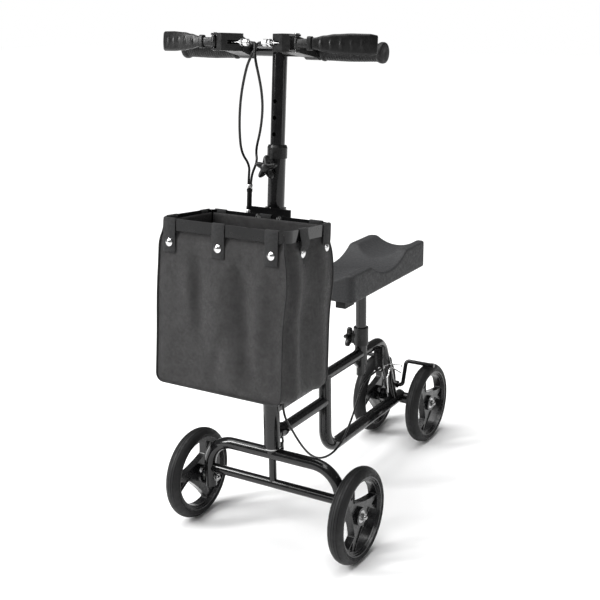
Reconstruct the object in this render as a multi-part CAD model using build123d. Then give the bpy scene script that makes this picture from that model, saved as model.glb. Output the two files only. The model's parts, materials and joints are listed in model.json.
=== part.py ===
from build123d import *
from math import atan, cos, degrees, radians, sin, tan
import os

os.makedirs("parts", exist_ok=True)

# Knee scooter, millimetres. +Z is up, -Y is the way it rolls, +X is the rider's left.
# The origin is on the floor, under the middle of the whole scooter.

# ---- driving dimensions ---------------------------------------------------------------
WHEEL_R = 100.0            # 8 inch wheels
TYRE_W = 34.0
TYRE_SEAT_R = 82.0
RIM_R = 72.0               # inside of the rim, where the windows end
HUB_R = 19.0
HUB_IN = 22.0              # the hub's ends, inwards and outwards of the wheel's middle
HUB_OUT = 13.0
AXLE_R = 5.0
BEARING_R = 13.0
BEARING_W = 8.0

FRONT_Y = -264.5           # front axle, and the vertical steering axis
WHEELBASE = 606.0
REAR_Y = FRONT_Y + WHEELBASE
FRONT_TRACK = 394.0
REAR_TRACK = 146.0

FORK_TUBE_R = 12.7
FORK_LEG_X = 161.0
FORK_TOP_Z = 190.0
FORK_FOOT_Z = 79.0
FORK_BEND_R = 62.0
CROSS_TUBE_R = 10.0
CROSS_TUBE_Z = 122.0
STRUT_R = 8.0
LOCK_PIN_Y = FRONT_Y + 34
LOCK_PIN_R = 3.0
LOCK_TAB_Z = (177.0, 181.0)
LOCK_HOUSING_Z = (182.0, 188.0)

HEAD_TUBE_R = 17.0
HEAD_TUBE_Z = (206.0, 322.0)
STEERER_R = 12.7
FOLD_Z = 345.0             # fold hinge, on the steering axis
COLUMN_LEAN = degrees(atan(61.0 / 654.5))

MAIN_TUBE_R = 12.7
UPPER_TUBE_Z = 288.0
LOWER_TUBE_Z = 229.0
SLEEVE_R = 14.2            # the sleeve on the lower tube's front end, and its lip
SLEEVE_LIP_R = 15.2
LOOP_TUBE_R = 14.3
LOOP_FRONT_Y = FRONT_Y + 219.0
LOOP_BOTTOM_Z = 107.0
LOOP_BEND_R = 52.0
SEAT_Y = FRONT_Y + 390.0
SEAT_POST_R = 12.7
SEAT_POST_FOOT = 310.0
SEAT_SLEEVE_R = 15.0
SEAT_SLEEVE_FOOT = 234.0
SEAT_COLLAR_Z = (310.0, 352.0)
SEAT_KNOB_Z = 323.0
KNOB_SCREW_R = 4.0

# The upper tube's path: from the head tube past the seat sleeve, then down to the loop.
UPPER_CORNERS = [
    (0, FRONT_Y, UPPER_TUBE_Z),
    (0, FRONT_Y + 493, UPPER_TUBE_Z),
    (0, FRONT_Y + 564, LOOP_BOTTOM_Z),
]

PAD_W = 150.0
PAD_Y = (FRONT_Y + 210.0, FRONT_Y + 578.0)
PAD_Z = (466.0, 527.0)
PAD_CORNER_R = 14.0
PAD_CHANNEL = (90.0, 18.0)     # radius and depth of the channel along the pad
PAD_SCALLOP = (149.0, 28.0)    # radius and depth of the scallop across it
BOARD_T = 5.0

BRAKE_BAR_R = 5.0
BRAKE_PIVOT = (REAR_Y - 34.0, 148.0)
CABLE_STOP = (20.0, FRONT_Y + 448.0, 232.0)

# Along the leaning column, from the fold hinge up.
COLUMN_R = 17.0
COLUMN_BORE = 14.8
COLUMN_FOOT = 26.0
COLUMN_TOP = 456.0
STEM_R = 14.3
STEM_FOOT = 200.0
BAR_W = 657.0
BAR_R = 11.1
BAR_END = 210.0
KNOB_W = 438.0
HOLE_PITCH = 31.2

# Brakes, in the column's frame.
LEVER_W = BAR_W + 11.5     # the levers sit a little above the bar
PIVOT = (90.0, -88.0)      # a lever's pivot: across and rearward
LEVER_PIN_R = 3.0
LEVER_TIP = (231.0, -60.0)
ADJUSTER_Y = -84.0
CABLE_R = 2.5
SPLITTER = (-52.5, -14.5)  # across and rearward
SPLITTER_W = (352.0, 391.0)

# Basket, in the column's own frame: across, ahead of the column, and along it.
BASKET_HALF = 140.0
BASKET_AHEAD = (20.0, 188.0)
RAIL_W = (323.0, 345.0)
RAIL_T = 3.0
RAIL_CORNER = 26.0
RAIL_BOLT = (24.0, RAIL_W[1] - 5.0, 3.0)   # across, along the column, and radius
BAG_FOOT = 25.0
BAG_WALL = 4.0
BAG_BULGE_TOP = RAIL_W[0] - 8.0

CLEAR = 0.3                # between bodies that only pass each other
RUNNING = 0.05             # radial, between a shaft and what turns or slides on it

# The column's frame: its Z runs up the column, its Y points to the rear.
COLUMN = Plane(
    origin=(0, FRONT_Y, FOLD_Z),
    x_dir=(1, 0, 0),
    z_dir=(0, sin(radians(COLUMN_LEAN)), cos(radians(COLUMN_LEAN))),
)


# ---- helpers --------------------------------------------------------------------------
def save(shape, node):
    export_step(shape, f"parts/{node}.step")


def rod(start, end, radius):
    """A solid round bar between two points."""
    start, end = Vector(*start), Vector(*end)
    run = end - start
    plane = Plane(origin=start, z_dir=run)
    return plane.location * Cylinder(radius, run.length, align=(Align.CENTER, Align.CENTER, Align.MIN))


def pipe(start, end, outer, inner):
    """A straight tube between two points."""
    return rod(start, end, outer) - rod(start, end, inner)


def box(x, y, z):
    """A block given by its (low, high) pairs."""
    block = Box(x[1] - x[0], y[1] - y[0], z[1] - z[0])
    return Pos(sum(x) / 2, sum(y) / 2, sum(z) / 2) * block


def bent(points, bends, outer, inner=0.0):
    """A round bar or tube along straight runs joined by tangent arcs."""
    path = FilletPolyline(*points, radius=bends)
    section = Plane(origin=path @ 0, z_dir=path % 0)
    face = section * Circle(outer)
    if inner:
        face -= section * Circle(inner)
    return sweep(face, path=path)


def lathe_x(outline):
    """The outline's (x, radius) points turned about the X axis."""
    return revolve(make_face(Polyline(*outline, close=True)), Axis.X, 360)


def lathe_z(outline):
    """The outline's (radius, z) points turned about the Z axis."""
    points = [(radius, 0, height) for radius, height in outline]
    return revolve(make_face(Polyline(*points, close=True)), Axis.Z, 360)


def group(*solids):
    return Compound(children=list(solids))


def on_column(shape):
    return COLUMN.location * shape


def mirrored(shape):
    """The same piece for the other side of the scooter."""
    return mirror(shape, about=Plane.YZ)


def cable(points, radius, name):
    """A cable's tube: each arc takes 0.45 of its shorter run, and the radii are printed."""
    points = [Vector(*point) for point in points]
    bends = []
    for before, here, after in zip(points, points[1:], points[2:]):
        turn = (here - before).get_angle(after - here)
        shorter = min((here - before).length, (after - here).length)
        bends.append(0.45 * shorter / tan(radians(turn) / 2))
    solid = bent(points, bends, radius)
    print(name, "bend radii", [round(bend) for bend in bends])
    return solid


# ---- wheels ---------------------------------------------------------------------------
def polar(radius, angle):
    return (radius * cos(radians(angle)), radius * sin(radians(angle)))


def tyre():
    """Solid tyre: round crown with four fine grooves, straight sidewalls, flat seat."""
    shoulder, half, bead = 88.0, TYRE_W / 2, TYRE_W / 2 - 3
    right = [(half, shoulder), (half - 1, shoulder - 1), (half - 1, shoulder - 2)]
    right += [(half - 0.6, shoulder - 3), (bead, TYRE_SEAT_R)]
    left = [(-x, radius) for x, radius in reversed(right)]
    crown = ThreePointArc(left[-1], (0, WHEEL_R), right[0])
    body = revolve(make_face([crown, Polyline(*right, *left)]), Axis.X, 360)
    top, wide, narrow = WHEEL_R + 1, 0.7, 0.35
    for x, floor in ((-8, 97.2), (-2.7, 98.9), (2.7, 98.9), (8, 97.2)):
        body -= lathe_x([(x - wide, top), (x + wide, top), (x + narrow, floor), (x - narrow, floor)])
    return body


def window(turn, grow=0.0):
    """One of the swept openings between two spokes, as a face in the wheel's plane."""
    outer, corner, inner = RIM_R + 1 + grow, 42.0 - grow, 29.5 - grow
    side, far = degrees(grow / 50), degrees(grow / 60)
    tip, shoulder = polar(outer, turn + 13 - far), polar(outer, turn + 106.5 + far)
    heel = polar(corner, turn + 118.5 + side)
    edges = [
        ThreePointArc(tip, polar(outer, turn + 60), shoulder),
        ThreePointArc(shoulder, polar(57, turn + 111.5 + side), heel),
        ThreePointArc(heel, polar(inner, turn + 64), tip),
    ]
    return fillet(make_face(edges).vertices(), 4 + grow)


def pocket(turn):
    """The small triangular opening where a spoke forks into the rim."""
    corners = [polar(RIM_R + 1, turn + 113), polar(RIM_R + 1, turn + 127), polar(52, turn + 121)]
    return fillet(make_face(Polyline(*corners, close=True)).vertices(), 2)


def disc(face, half):
    """A face drawn in the wheel's plane, made a plate of twice the half thickness."""
    return extrude(Plane.YZ * face, amount=half, both=True)


def rim():
    """Moulded wheel, its outer face to +X: stepped rim, hub, three swept spokes with raised edges."""
    half_rim, half_web, half_edge, lip = 15.0, 6.0, 8.0, 1.6
    spokes, edges = Circle(RIM_R + 4), []
    for turn in (0, 120, 240):
        spokes -= window(turn)
        spokes -= pocket(turn)
        edges.append(disc(window(turn, lip) - window(turn), half_edge))
    steps = [(half_rim, TYRE_SEAT_R), (half_rim, 79.5), (12, 78.5), (12, 76), (9, 75), (9, RIM_R)]
    body = lathe_x(steps + [(-x, radius) for x, radius in reversed(steps)])
    body += disc(spokes, half_web)
    for edge in edges:
        body += edge
    body += rod((-HUB_IN, 0, 0), (HUB_OUT, 0, 0), HUB_R)
    body -= rod((-HUB_IN, 0, 0), (HUB_OUT, 0, 0), BEARING_R - 3)
    for seat in ((-HUB_IN, BEARING_W - HUB_IN), (HUB_OUT - BEARING_W, HUB_OUT)):
        body -= rod((seat[0], 0, 0), (seat[1], 0, 0), BEARING_R + RUNNING)
    return body


def bearings(x, y, side):
    """The two ball bearings pressed in one wheel, whose outer face points to the given side."""
    rings, gap = [], 0.2
    for low, high in ((-HUB_IN, BEARING_W - HUB_IN), (HUB_OUT - BEARING_W, HUB_OUT)):
        start = (x + side * (low + gap), y, WHEEL_R)
        end = (x + side * (high - gap), y, WHEEL_R)
        rings.append(pipe(start, end, BEARING_R, AXLE_R))
    return rings


def wheels():
    one_tyre, one_rim = tyre(), rim()
    for end, track, y in (("front", FRONT_TRACK, FRONT_Y), ("rear", REAR_TRACK, REAR_Y)):
        rings = []
        for name, side in (("left", 1), ("right", -1)):
            x, turn = side * track / 2, 90 - side * 90
            save(Pos(x, y, WHEEL_R) * one_tyre, f"{end}_{name}_tyre")
            save(Pos(x, y, WHEEL_R) * Rot(0, 0, turn) * one_rim, f"{end}_{name}_wheel")
            rings += bearings(x, y, side)
        save(group(*rings), f"{end}_wheel_bearings")


# ---- steering fork --------------------------------------------------------------------
NUT_HALF = 3.0             # half the length of a domed nut's hexagon


def dome_nut(x, y, side):
    """A domed nut on a wheel axle, its dome pointing to the given side."""
    nut = Rot(0, 90, 0) * extrude(RegularPolygon(8.5, 6), amount=NUT_HALF, both=True)
    dome = Pos(side * NUT_HALF, 0, 0) * Sphere(5.5)
    return Pos(x, y, WHEEL_R) * (nut + dome)


def fork():
    corners = [(-FORK_LEG_X, FRONT_Y, FORK_FOOT_Z), (-FORK_LEG_X, FRONT_Y, FORK_TOP_Z),
               (FORK_LEG_X, FRONT_Y, FORK_TOP_Z), (FORK_LEG_X, FRONT_Y, FORK_FOOT_Z)]
    crown = rod((-40, FRONT_Y, FORK_TOP_Z), (40, FRONT_Y, FORK_TOP_Z), FORK_TUBE_R)
    arch = bent(corners, FORK_BEND_R, FORK_TUBE_R, FORK_TUBE_R - 2)
    lock_tab = box((-10, 10), (FRONT_Y, LOCK_PIN_Y + 8), LOCK_TAB_Z)
    lock_tab -= rod((0, LOCK_PIN_Y, 170), (0, LOCK_PIN_Y, 185), LOCK_PIN_R + 0.4)
    lock_tab -= rod((0, FRONT_Y, 170), (0, FRONT_Y, 185), STRUT_R)
    arch += lock_tab - crown
    arch -= rod((-200, FRONT_Y, WHEEL_R), (200, FRONT_Y, WHEEL_R), AXLE_R)
    save(arch, "fork_arch")

    brace = pipe((-FORK_LEG_X, FRONT_Y, CROSS_TUBE_Z), (FORK_LEG_X, FRONT_Y, CROSS_TUBE_Z),
                 CROSS_TUBE_R, CROSS_TUBE_R - 2)
    strut = rod((0, FRONT_Y, CROSS_TUBE_Z), (0, FRONT_Y, FORK_TOP_Z), STRUT_R)
    brace += strut - rod((-30, FRONT_Y, CROSS_TUBE_Z), (30, FRONT_Y, CROSS_TUBE_Z), CROSS_TUBE_R - 1)
    save(brace - bent(corners, FORK_BEND_R, FORK_TUBE_R), "fork_brace")

    axles = []
    for side in (-1, 1):
        inner, outer = FORK_LEG_X - FORK_TUBE_R, FRONT_TRACK / 2 + HUB_OUT
        axle = rod((side * inner, FRONT_Y, WHEEL_R), (side * outer, FRONT_Y, WHEEL_R), AXLE_R)
        axle += dome_nut(side * (inner - NUT_HALF), FRONT_Y, -side)
        axle += dome_nut(side * (outer + NUT_HALF), FRONT_Y, side)
        axles.append(axle)
    save(group(*axles), "front_axle_bolts")

    steerer = rod((0, FRONT_Y, FORK_TOP_Z), (0, FRONT_Y, HEAD_TUBE_Z[1] + 2), STEERER_R) - crown
    save(steerer, "steerer")
    washer_z = (HEAD_TUBE_Z[0] - 3, HEAD_TUBE_Z[0] - CLEAR)
    washer = pipe((0, FRONT_Y, washer_z[0]), (0, FRONT_Y, washer_z[1]), 18, STEERER_R)
    save(washer - crown, "crown_washer")


def fold_hinge():
    """Two ears on the steerer, a pin through them, and the column's block between them."""
    base_z = (HEAD_TUBE_Z[1] + 1, FOLD_Z - 15)
    ear_in, ear_out, ear_r, pin_r = 13.0, 19.0, 14.0, 5.0
    yoke = rod((0, FRONT_Y, base_z[0]), (0, FRONT_Y, base_z[1]), 21)
    for side in (-1, 1):
        x = sorted((side * ear_in, side * ear_out))
        yoke += box(x, (FRONT_Y - ear_r, FRONT_Y + ear_r), (base_z[1] - 1, FOLD_Z))
        yoke += rod((x[0], FRONT_Y, FOLD_Z), (x[1], FRONT_Y, FOLD_Z), ear_r)
    yoke -= rod((0, FRONT_Y, base_z[0]), (0, FRONT_Y, HEAD_TUBE_Z[1] + 2), STEERER_R)
    yoke -= rod((-30, FRONT_Y, FOLD_Z), (30, FRONT_Y, FOLD_Z), pin_r)
    save(yoke, "fold_hinge_yoke")

    pin = rod((-ear_out - 1, FRONT_Y, FOLD_Z), (ear_out + 1, FRONT_Y, FOLD_Z), pin_r)
    for side in (-1, 1):
        head = sorted((side * ear_out, side * (ear_out + 4)))
        pin += rod((head[0], FRONT_Y, FOLD_Z), (head[1], FRONT_Y, FOLD_Z), 8)
    save(pin, "fold_hinge_pin")

    half = ear_in - CLEAR - 0.1
    block = rod((-half, 0, 0), (half, 0, 0), 13.5)
    block += box((-half, half), (-9, 9), (0, COLUMN_FOOT))
    block += rod((0, 0, COLUMN_FOOT), (0, 0, COLUMN_FOOT + 20), COLUMN_BORE)
    block -= rod((-half, 0, 0), (half, 0, 0), pin_r + RUNNING)
    save(on_column(block), "fold_hinge_block")


# ---- rear frame -----------------------------------------------------------------------
def frame():
    front = FRONT_Y + HEAD_TUBE_R
    head = pipe((0, FRONT_Y, HEAD_TUBE_Z[0]), (0, FRONT_Y, HEAD_TUBE_Z[1]), HEAD_TUBE_R, HEAD_TUBE_R - 2)
    save(head, "head_tube")
    cups = []
    for low in (HEAD_TUBE_Z[0], HEAD_TUBE_Z[1] - 10):
        cups.append(pipe((0, FRONT_Y, low), (0, FRONT_Y, low + 10), HEAD_TUBE_R - 2, STEERER_R + RUNNING))
    save(group(*cups), "headset_bearings")

    head_room = rod((0, FRONT_Y, 200), (0, FRONT_Y, 330), HEAD_TUBE_R)
    seat_room = rod((0, SEAT_Y, 200), (0, SEAT_Y, 360), SEAT_SLEEVE_R)
    loop_room = rod((0, LOOP_FRONT_Y + 60, LOOP_BOTTOM_Z), (0, REAR_Y, LOOP_BOTTOM_Z), LOOP_TUBE_R)
    upper = bent(UPPER_CORNERS, 46, MAIN_TUBE_R, MAIN_TUBE_R - 2)
    save(upper - head_room - seat_room - loop_room, "main_tube_upper")

    upright = rod((0, LOOP_FRONT_Y, 150), (0, LOOP_FRONT_Y, 270), LOOP_TUBE_R)
    lower = pipe((0, FRONT_Y, LOWER_TUBE_Z), (0, LOOP_FRONT_Y, LOWER_TUBE_Z), MAIN_TUBE_R, MAIN_TUBE_R - 2)
    save(lower - head_room - upright, "main_tube_lower")
    collar = pipe((0, front + 3, LOWER_TUBE_Z), (0, front + 20, LOWER_TUBE_Z), SLEEVE_R, MAIN_TUBE_R)
    collar += pipe((0, front + 20, LOWER_TUBE_Z), (0, front + 26, LOWER_TUBE_Z), SLEEVE_LIP_R, MAIN_TUBE_R)
    save(collar, "main_tube_sleeve")

    corners = [(0, LOOP_FRONT_Y, UPPER_TUBE_Z), (0, LOOP_FRONT_Y, LOOP_BOTTOM_Z)]
    corners.append((0, REAR_Y, LOOP_BOTTOM_Z))
    loop = bent(corners, LOOP_BEND_R, LOOP_TUBE_R, LOOP_TUBE_R - 2)
    loop -= rod((0, FRONT_Y, UPPER_TUBE_Z), (0, SEAT_Y, UPPER_TUBE_Z), MAIN_TUBE_R)
    loop -= rod((-50, REAR_Y, WHEEL_R), (50, REAR_Y, WHEEL_R), LOOP_TUBE_R)
    loop += pipe((-50, REAR_Y, WHEEL_R), (50, REAR_Y, WHEEL_R), LOOP_TUBE_R, AXLE_R)
    save(loop, "frame_loop")

    nut_x = REAR_TRACK / 2 + HUB_OUT
    axle = rod((-nut_x, REAR_Y, WHEEL_R), (nut_x, REAR_Y, WHEEL_R), AXLE_R)
    for side in (-1, 1):
        axle += dome_nut(side * (nut_x + NUT_HALF), REAR_Y, side)
    save(axle, "rear_axle")

    low, high = SEAT_COLLAR_Z
    stub_r, stub_top = 11.0, UPPER_TUBE_Z - 26
    sleeve = rod((0, SEAT_Y, stub_top), (0, SEAT_Y, low), SEAT_SLEEVE_R) + gussets()
    sleeve -= rod((0, SEAT_Y, stub_top + 4), (0, SEAT_Y, low), SEAT_POST_R + CLEAR)
    sleeve += rod((0, SEAT_Y, SEAT_SLEEVE_FOOT), (0, SEAT_Y, stub_top), stub_r)
    sleeve -= rod((0, SEAT_Y, SEAT_SLEEVE_FOOT), (0, SEAT_Y, stub_top + 4), stub_r - 2)
    save(sleeve, "seat_sleeve")

    clamp = pipe((0, SEAT_Y, low), (0, SEAT_Y, high), 17.5, SEAT_POST_R + RUNNING)
    clamp += box((-20.5, -14), (SEAT_Y - 8, SEAT_Y + 8), (SEAT_KNOB_Z - 10, SEAT_KNOB_Z + 10))
    clamp -= rod((0, SEAT_Y, low), (0, SEAT_Y, high), SEAT_POST_R + RUNNING)
    clamp -= rod((-30, SEAT_Y, SEAT_KNOB_Z), (-10, SEAT_Y, SEAT_KNOB_Z), KNOB_SCREW_R + 0.1)
    save(clamp, "seat_collar")


def gussets():
    """Flat plates in the corners where the seat sleeve crosses the upper tube."""
    tube = rod((0, SEAT_Y - 60, UPPER_TUBE_Z), (0, SEAT_Y, UPPER_TUBE_Z), MAIN_TUBE_R)
    plates = None
    for rise, height in ((1, 9), (-1, 22)):
        start, back = UPPER_TUBE_Z + rise * (MAIN_TUBE_R - 1), SEAT_Y - SEAT_SLEEVE_R + 1
        outline = [(0, back, start), (0, back - 26, start), (0, back, start + rise * height)]
        plate = extrude(make_face(Polyline(*outline, close=True)), amount=2, both=True) - tube
        plates = plate if plates is None else plates + plate
    return plates


def steering_lock():
    """A spring pin behind the head tube that drops into the fork's tab, with its pull ring."""
    low, high = LOCK_HOUSING_Z
    post = pipe((0, LOCK_PIN_Y, low), (0, LOCK_PIN_Y, high), 2 * LOCK_PIN_R, LOCK_PIN_R + RUNNING)
    strap = box((-1.5, 1.5), (LOCK_PIN_Y + 5, LOCK_PIN_Y + 8), (low, LOWER_TUBE_Z))
    strap -= rod((0, FRONT_Y, LOWER_TUBE_Z), (0, FRONT_Y + 100, LOWER_TUBE_Z), SLEEVE_LIP_R)
    post += strap - rod((0, LOCK_PIN_Y, low), (0, LOCK_PIN_Y, high), 2 * LOCK_PIN_R - 1)
    save(post, "lock_pin_housing")
    pin = rod((0, LOCK_PIN_Y, LOCK_TAB_Z[1] + 1.5), (0, LOCK_PIN_Y, 201), LOCK_PIN_R)
    ring = Pos(0, LOCK_PIN_Y, 206) * Rot(90, 0, 0) * Torus(6, 1.5)
    save(pin + ring, "steering_lock_pin")


# ---- column, basket and handlebar -----------------------------------------------------
def column():
    tube = pipe((0, 0, COLUMN_FOOT), (0, 0, COLUMN_TOP), COLUMN_R, COLUMN_BORE)
    tube -= rod((0, -30, KNOB_W), (0, 0, KNOB_W), KNOB_SCREW_R + 0.1)
    block_room = rod((0, 0, COLUMN_FOOT), (0, 0, COLUMN_FOOT + 20), COLUMN_BORE)
    save(on_column(tube - block_room), "column_tube")

    bore, outer, foot, top = STEM_R + RUNNING, 19.5, COLUMN_TOP - 1.5, COLUMN_TOP + 24
    collar = lathe_z([
        (bore, COLUMN_TOP), (COLUMN_R, COLUMN_TOP), (COLUMN_R, foot), (outer, foot),
        (outer, top - 5), (outer - 2, top), (bore, top),
    ])
    save(on_column(collar), "column_collar")
    save(on_column(star_knob(-COLUMN_R - 7, (0, KNOB_W), 8, 8)), "column_knob")

    plate_w = (RAIL_W[0] + 10, RAIL_W[1] + 14)
    plate = box((-46, 46), (-BASKET_AHEAD[0], -COLUMN_R), plate_w)
    saddle = pipe((0, 0, plate_w[0]), (0, 0, plate_w[1]), COLUMN_R + 4, COLUMN_R)
    saddle -= box((-30, 30), (-30, -COLUMN_R), plate_w)
    bracket = plate + saddle - rod((0, 0, plate_w[0]), (0, 0, plate_w[1]), COLUMN_R)
    x, w, radius = RAIL_BOLT
    rail_y, nut_y = -BASKET_AHEAD[0] - RAIL_T, -COLUMN_R + 2
    bolts = []
    for side in (-x, x):
        bracket -= rod((side, -30, w), (side, 0, w), radius)
        bolt = rod((side, rail_y, w), (side, nut_y, w), radius)
        bolt += rod((side, rail_y - 3, w), (side, rail_y, w), 2 * radius)
        nut = Rot(90, 0, 0) * extrude(RegularPolygon(2 * radius, 6), amount=2, both=True)
        bolts.append(bolt + Pos(side, nut_y, w) * nut)
    save(on_column(bracket), "basket_bracket")
    save(on_column(group(*bolts)), "basket_bolts")


def star_knob(start, place, screw, neck):
    """A five-armed knob facing -Y: its neck starts at the given y and its screw reaches behind it."""
    arms, reach, thick = 5, 16.0, 14.0
    x, z = place
    body = rod((x, start - neck, z), (x, start - neck - thick, z), 13)
    for arm in range(arms):
        angle = radians(90 + arm * 360 / arms)
        at = (x + reach * cos(angle), z + reach * sin(angle))
        body += rod((at[0], start - neck, at[1]), (at[0], start - neck - thick, at[1]), 7.5)
    body += rod((x, start, z), (x, start - neck, z), 9)
    return body + rod((x, start + screw, z), (x, start, z), KNOB_SCREW_R)


def rail_outline(inset):
    """The basket's rounded rectangle, as a face on the column frame's XY plane."""
    width = 2 * (BASKET_HALF - inset)
    depth = BASKET_AHEAD[1] - BASKET_AHEAD[0] - 2 * inset
    return Pos(0, -sum(BASKET_AHEAD) / 2, 0) * RectangleRounded(width, depth, RAIL_CORNER - inset)


def basket():
    """The flat-bar rail, and the bag: a belly below the rail and a narrower neck inside it."""
    x, w, radius = RAIL_BOLT
    band = rail_outline(0) - rail_outline(RAIL_T)
    rail = Pos(0, 0, RAIL_W[0]) * extrude(band, amount=RAIL_W[1] - RAIL_W[0])
    for side in (-x, x):
        rail -= rod((side, -30, w), (side, 0, w), radius)
    save(on_column(rail), "basket_frame")

    neck_gap, swell, forward = RAIL_T + 4.5, 1.0, Pos(0, -1, 0)
    tall = BAG_BULGE_TOP - BAG_FOOT
    belly = forward * Pos(0, 0, BAG_FOOT) * extrude(rail_outline(-swell), amount=tall)
    neck = Pos(0, 0, BAG_BULGE_TOP) * extrude(rail_outline(neck_gap), amount=RAIL_W[1] - 3 - BAG_BULGE_TOP)
    inside = extrude(rail_outline(BAG_WALL - swell), amount=tall - 2 * BAG_WALL)
    inside = forward * Pos(0, 0, BAG_FOOT + BAG_WALL) * inside
    mouth = extrude(rail_outline(neck_gap + BAG_WALL), amount=RAIL_W[1])
    mouth = Pos(0, 0, BAG_BULGE_TOP - BAG_WALL - 1) * mouth
    save(on_column(belly + neck - inside - mouth), "basket_bag")


def handlebar():
    """The T bar: stem with its row of height holes, welded to the cross bar."""
    bar = pipe((0, 0, STEM_FOOT), (0, 0, BAR_W), STEM_R, STEM_R - 2)
    bar += rod((-BAR_END, 0, BAR_W), (BAR_END, 0, BAR_W), BAR_R)
    bar -= rod((-BAR_END, 0, BAR_W), (BAR_END, 0, BAR_W), BAR_R - 2)
    for step in range(5):
        hole_w = KNOB_W + step * HOLE_PITCH
        bar -= rod((0, -20, hole_w), (0, 0, hole_w), KNOB_SCREW_R)
    save(on_column(bar), "handlebar")

    grip = lathe_x([(95, BAR_R), (95, 16.5), (99, 17.5), (108, 15.5), (150, 16.5), (201, 15.2),
                    (211, 17), (214, 19), (220, 19), (222, 17), (222, 0), (BAR_END, 0), (BAR_END, BAR_R)])
    grip = Pos(0, 0, BAR_W) * grip
    save(on_column(grip), "grip_left")
    save(on_column(mirrored(grip)), "grip_right")


# ---- brakes ---------------------------------------------------------------------------
def plan(points, low, high):
    """A prism over (across, rearward) points, between two heights along the column."""
    face = make_face(Polyline(*[(x, y, low) for x, y in points], close=True))
    return extrude(face, amount=high - low, dir=(0, 0, 1))


def brake_housing():
    """The left brake's body: clamp on the bar, arm forward, wedge-faced block, pivot plates."""
    block = plan([(36, -72), (36, -84), (66, -100), (80, -95), (80, -72)], LEVER_W - 16, LEVER_W + 16)
    arm = plan([(40, -73), (80, -73), (88, -8), (60, -8)], BAR_W - 20, LEVER_W + 14)
    top = [(0, -73, LEVER_W + 14), (0, -8, BAR_W + 12), (0, -8, BAR_W + 60), (0, -73, BAR_W + 60)]
    under = [(0, -73, LEVER_W - 15), (0, -8, BAR_W - 12), (0, -8, BAR_W - 60), (0, -73, BAR_W - 60)]
    for outline in (top, under):
        arm -= extrude(make_face(Polyline(*outline, close=True)), amount=120, dir=(1, 0, 0))
    clamp = rod((60, 0, BAR_W), (88, 0, BAR_W), 16)
    body = block + arm + clamp
    body -= rod((50, 0, BAR_W), (94, 0, BAR_W), BAR_R)
    body -= box((35, 56), (-110, -80), (LEVER_W - 3.5, LEVER_W + 3.5))
    for low in (LEVER_W - 15, LEVER_W + 12):
        plate = plan([(72, -95), (PIVOT[0] + 2, PIVOT[1] - 9), (PIVOT[0] + 8, PIVOT[1]),
                      (PIVOT[0], PIVOT[1] + 10), (72, -74)], low, low + 3)
        body += plate
    body -= rod((*PIVOT, LEVER_W - 20), (*PIVOT, LEVER_W + 20), LEVER_PIN_R)
    return body


def brake_lever():
    """The left lever: boss on the pivot, narrow neck, broad blade that sweeps back."""
    x, y = PIVOT
    tip, thick = LEVER_TIP, 7.0
    outer = ThreePointArc((x, y - 7), (168, -86), (tip[0], tip[1] - thick / 2))
    inner = ThreePointArc((tip[0], tip[1] + thick / 2), (166, -78), (x, y + 5))
    ends = [Line(outer @ 1, inner @ 0), Line(inner @ 1, outer @ 0)]
    strip = make_face([outer, ends[0], inner, ends[1]])
    blade = Pos(0, 0, LEVER_W - 30) * extrude(strip, amount=60, dir=(0, 0, 1))
    neck, wide = 9.0, 18.5
    edge = [(x - 10, neck), (112, neck), (125, neck + 1), (165, wide - 2), (200, wide)]
    edge += [(tip[0] - 7, wide), (tip[0] + 3, wide - 4)]
    upper = [(across, -150, LEVER_W + half) for across, half in edge]
    lower = [(across, -150, LEVER_W - half) for across, half in reversed(edge)]
    side = extrude(make_face(Polyline(*upper, *lower, close=True)), amount=150, dir=(0, 1, 0))
    lever = (blade & side) + rod((x, y, LEVER_W - 11.5), (x, y, LEVER_W + 11.5), 7.5)
    return lever - rod((x, y, LEVER_W - 20), (x, y, LEVER_W + 20), LEVER_PIN_R + RUNNING)


def adjuster():
    """The left brake's barrel adjuster, with its locknut and the rod in the slot."""
    y, z = ADJUSTER_Y, LEVER_W
    barrel = rod((14, y, z), (27, y, z), 4) + rod((17, y, z), (25, y, z), 6.5)
    locknut = Pos(31, y, z) * Rot(0, 90, 0) * extrude(RegularPolygon(7, 6), amount=2, both=True)
    return barrel + locknut + rod((25, y, z), (36, y, z), 3) + rod((36, y, z), (54, y, z), 1.5)


def brakes():
    pins, adjusters = [], []
    for name, place in (("left", lambda shape: shape), ("right", mirrored)):
        save(on_column(place(brake_housing())), f"brake_housing_{name}")
        save(on_column(place(brake_lever())), f"brake_lever_{name}")
        pin = rod((*PIVOT, LEVER_W - 16.5), (*PIVOT, LEVER_W + 16.5), LEVER_PIN_R)
        pin += rod((*PIVOT, LEVER_W + 15), (*PIVOT, LEVER_W + 17), 5)
        pins.append(place(pin))
        adjusters.append(place(adjuster()))
    save(on_column(group(*pins)), "lever_pins")
    save(on_column(group(*adjusters)), "cable_adjusters")


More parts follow.
